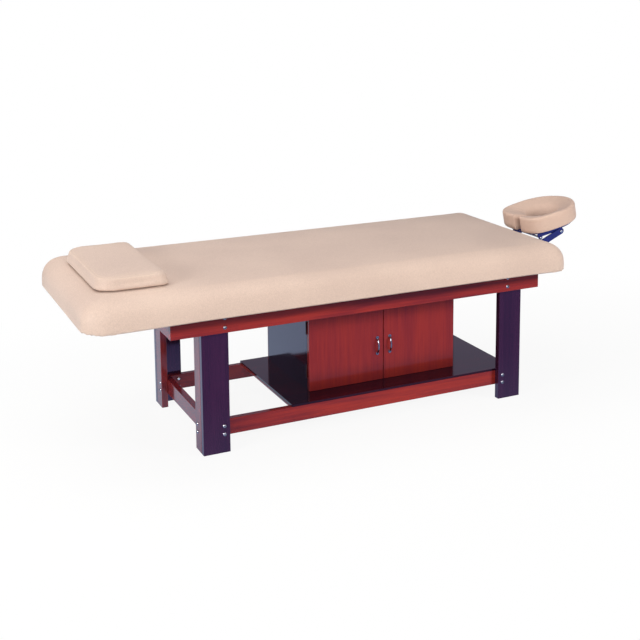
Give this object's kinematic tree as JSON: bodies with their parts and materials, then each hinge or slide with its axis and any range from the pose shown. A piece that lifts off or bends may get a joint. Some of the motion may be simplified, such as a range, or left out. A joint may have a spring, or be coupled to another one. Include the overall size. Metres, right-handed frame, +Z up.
{
  "type": "spa bed with cabinet base",
  "caption": "treatment bed: a thick upholstered pad on a bolted timber base with a shelf and a two-door cabinet, a loose pillow and a face cradle that slides, lowers and tilts",
  "frame": {"origin": "on the floor, under the middle of the object's bounding box", "axes": "+X along the bed from the pillow's end to the face cradle, +Y across the bed away from the doors, +Z up"},
  "size_m": [2.1884, 0.775, 0.7184],
  "materials": {
    "cover": "matte",
    "dark_timber": "gloss",
    "red_timber": "gloss",
    "cabinet_panel": "gloss",
    "plain_timber": "matte",
    "plywood": "matte",
    "bright_chrome": "polished",
    "zinc_steel": "satin",
    "navy_paint": "gloss",
    "black_plastic": "matte",
    "white_plastic": "matte",
    "hook_fabric": "matte"
  },
  "bodies": {
    "base": {"pad": "cover", "pad_board": "plywood", "pad_brackets": "zinc_steel", "leg_face_front_foot": "dark_timber", "leg_face_front_head": "dark_timber", "leg_face_back_foot": "dark_timber", "leg_face_back_head": "dark_timber", "leg_side_front_foot": "dark_timber", "leg_side_front_head": "dark_timber", "leg_side_back_foot": "dark_timber", "leg_side_back_head": "dark_timber", "apron_front": "red_timber", "apron_back": "red_timber", "apron_foot": "red_timber", "apron_head": "red_timber", "pad_bearers": "plain_timber", "rail_front": "red_timber", "rail_back": "red_timber", "rail_foot": "red_timber", "rail_head": "red_timber", "shelf_panel": "dark_timber", "shelf_battens": "plain_timber", "bolts": "bright_chrome", "dome_nuts": "bright_chrome", "foot_glides": "black_plastic", "cabinet_side_left": "cabinet_panel", "cabinet_side_right": "cabinet_panel", "cabinet_floor": "cabinet_panel", "cabinet_top": "cabinet_panel", "cabinet_back": "cabinet_panel", "inner_shelf": "cabinet_panel", "shelf_pins": "zinc_steel", "magnet_catches": "white_plastic", "hinge_case_leaves": "zinc_steel", "socket_sleeves": "zinc_steel"},
    "door_left": {"door_left": "cabinet_panel", "handle_left": "bright_chrome", "hinge_door_leaves_left": "zinc_steel", "strike_left": "zinc_steel"},
    "door_right": {"door_right": "cabinet_panel", "handle_right": "bright_chrome", "hinge_door_leaves_right": "zinc_steel", "strike_right": "zinc_steel"},
    "pillow": {"pillow": "cover"},
    "cradle_base": {"cradle_posts": "bright_chrome", "cradle_crossbar": "navy_paint", "cradle_yoke": "navy_paint", "lower_pivot_rod": "bright_chrome"},
    "cradle_arms": {"arm_near": "navy_paint", "arm_far": "navy_paint", "arm_brace": "navy_paint", "upper_pivot_bolts": "bright_chrome"},
    "platform": {"cradle_platform": "navy_paint", "side_brackets": "navy_paint", "tie_rod": "bright_chrome", "hook_strips": "hook_fabric"},
    "cushion": {"cradle_cushion": "cover"},
    "lower_lever": {"lower_lever": "black_plastic"},
    "upper_lever": {"upper_lever": "black_plastic"}
  },
  "joints": [
    {"name": "door_left_swing", "type": "hinge", "parent": "base", "child": "door_left", "pos_m": [-0.227, -0.157, 0.28], "axis": [0, 0, -1], "range_deg": [0, 105]},
    {"name": "door_right_swing", "type": "hinge", "parent": "base", "child": "door_right", "pos_m": [0.4044, -0.157, 0.28], "axis": [0, 0, 1], "range_deg": [0, 105]},
    {"name": "pillow_lift", "type": "slide", "parent": "base", "child": "pillow", "axis": [0, 0, 1], "range_m": [0, 0.15]},
    {"name": "cradle_slide", "type": "slide", "parent": "base", "child": "cradle_base", "axis": [1, 0, 0], "range_m": [0, 0.12]},
    {"name": "arm_lift", "type": "hinge", "parent": "cradle_base", "child": "cradle_arms", "pos_m": [0.8337, 0, 0.5385], "axis": [0, 1, 0], "range_deg": [0, 50]},
    {"name": "platform_tilt", "type": "hinge", "parent": "cradle_arms", "child": "platform", "pos_m": [0.97165, 0, 0.59992], "axis": [0, 1, 0], "range_deg": [0, 40]},
    {"name": "cushion_lift", "type": "slide", "parent": "platform", "child": "cushion", "axis": [-0.1908, 0, 0.9816], "range_m": [0, 0.06]},
    {"name": "lower_lever_swing", "type": "hinge", "parent": "cradle_base", "child": "lower_lever", "pos_m": [0.8337, 0.1151, 0.5385], "axis": [-0.4067, 0, 0.9135], "range_deg": [0, 90]},
    {"name": "upper_lever_swing", "type": "hinge", "parent": "cradle_arms", "child": "upper_lever", "pos_m": [0.97165, 0.1151, 0.59992], "axis": [0.4067, 0, -0.9135], "range_deg": [0, 90]}
  ]
}
